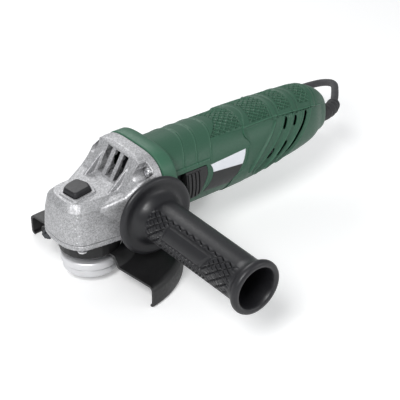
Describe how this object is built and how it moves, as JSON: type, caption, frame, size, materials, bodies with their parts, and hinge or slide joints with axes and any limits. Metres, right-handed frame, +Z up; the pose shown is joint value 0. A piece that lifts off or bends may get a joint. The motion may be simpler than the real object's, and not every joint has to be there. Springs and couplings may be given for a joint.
{
  "type": "angle grinder",
  "caption": "Corded angle grinder with gear head, turning guard, side handle, slide switch, spindle lock, flange and nut, and its coiled cord with plug.",
  "frame": {"origin": "centre of the spindle's lower end face", "axes": "+Z up along the spindle, +X along the motor towards the tail, side handle and slide switch on the -Y side"},
  "size_m": [0.3285, 0.2726, 0.0932],
  "materials": {
    "cast_aluminium": "sand-cast, slightly sparkling grain",
    "bright_steel": "turned and polished",
    "dark_steel": "oiled",
    "black_paint": "satin black",
    "green_plastic": "fine moulded grain",
    "black_plastic": "moulded, satin",
    "black_rubber": "matt",
    "copper": "varnished copper",
    "brass": "plain",
    "carbon": "pressed carbon",
    "white_plastic": "plain moulding"
  },
  "bodies": {
    "housing": {"gear_housing": "cast_aluminium", "bearing_cover": "cast_aluminium", "head_screw_1": "bright_steel", "head_screw_2": "bright_steel", "head_screw_3": "bright_steel", "head_screw_4": "bright_steel", "cover_screw_1": "bright_steel", "cover_screw_2": "bright_steel", "cover_screw_3": "bright_steel", "cover_screw_4": "bright_steel", "spindle_bearing": "bright_steel", "upper_bushing": "brass", "dust_seal": "black_rubber", "front_bearing": "bright_steel", "air_baffle": "black_plastic", "stator_core": "dark_steel", "field_coil_upper": "copper", "field_coil_lower": "copper", "brush_upper": "carbon", "brush_holder_upper": "brass", "brush_lower": "carbon", "brush_holder_lower": "brass", "rear_bearing": "bright_steel", "bearing_sleeve": "black_rubber", "motor_housing": "green_plastic", "rear_cover": "green_plastic", "cover_fixing_screw": "bright_steel", "switch_body": "black_plastic", "capacitor": "white_plastic", "cord_clamp": "black_plastic", "strain_relief": "black_rubber", "cord": "black_rubber", "cord_coil": "black_rubber", "plug": "black_rubber", "plug_pin_1": "bright_steel", "plug_pin_2": "bright_steel"},
    "armature": {"armature_shaft": "bright_steel", "pinion": "dark_steel", "fan": "white_plastic", "armature_core": "dark_steel", "winding_front": "copper", "winding_rear": "copper", "commutator": "copper"},
    "spindle": {"spindle": "bright_steel", "bevel_gear": "dark_steel"},
    "inner_flange": {"inner_flange": "bright_steel"},
    "outer_nut": {"outer_nut": "bright_steel"},
    "guard": {"guard": "black_paint", "guard_clamp": "black_paint", "clamp_screw": "dark_steel", "clamp_nut": "dark_steel"},
    "lock": {"lock_button": "black_plastic", "lock_pin": "bright_steel", "lock_spring": "bright_steel"},
    "switch": {"switch_slider": "black_plastic", "switch_rod": "white_plastic"},
    "handle_stud": {"handle_stud": "bright_steel"},
    "side_handle": {"side_handle": "black_plastic"}
  },
  "joints": [
    {"name": "armature_spin", "type": "hinge", "parent": "housing", "child": "armature", "pos_m": [0, 0, 0.0527], "axis": [1, 0, 0], "continuous": true},
    {"name": "spindle_spin", "type": "hinge", "parent": "housing", "child": "spindle", "pos_m": [0, 0, 0], "axis": [0, 0, 1], "continuous": true},
    {"name": "flange_slide", "type": "slide", "parent": "spindle", "child": "inner_flange", "axis": [0, 0, -1], "range_m": [0, 0.004]},
    {"name": "nut_turn", "type": "hinge", "parent": "inner_flange", "child": "outer_nut", "pos_m": [0, 0, 0], "axis": [0, 0, -1], "range_deg": [0, 720]},
    {"name": "guard_turn", "type": "hinge", "parent": "housing", "child": "guard", "pos_m": [0, 0, 0], "axis": [0, 0, 1], "range_deg": [-60, 60]},
    {"name": "lock_press", "type": "slide", "parent": "housing", "child": "lock", "axis": [0, 0, -1], "range_m": [0, 0.003], "stiffness_N_per_m": 800, "deforming": ["lock_spring"]},
    {"name": "switch_slide", "type": "slide", "parent": "housing", "child": "switch", "axis": [-1, 0, 0], "range_m": [0, 0.007], "stiffness_N_per_m": 300},
    {"name": "handle_travel", "type": "slide", "parent": "housing", "child": "handle_stud", "axis": [0, -1, 0], "range_m": [0, 0.009]},
    {"name": "handle_turn", "type": "hinge", "parent": "handle_stud", "child": "side_handle", "pos_m": [0.0284, 0, 0.0497], "axis": [0, -1, 0], "range_deg": [0, 2160]}
  ],
  "couplings": [
    {"joint": "spindle_spin", "follows": "armature_spin", "ratio": 0.28571},
    {"joint": "nut_turn", "follows": "flange_slide", "rad_per_m": 3141.6},
    {"joint": "handle_turn", "follows": "handle_travel", "rad_per_m": 4188.8}
  ]
}
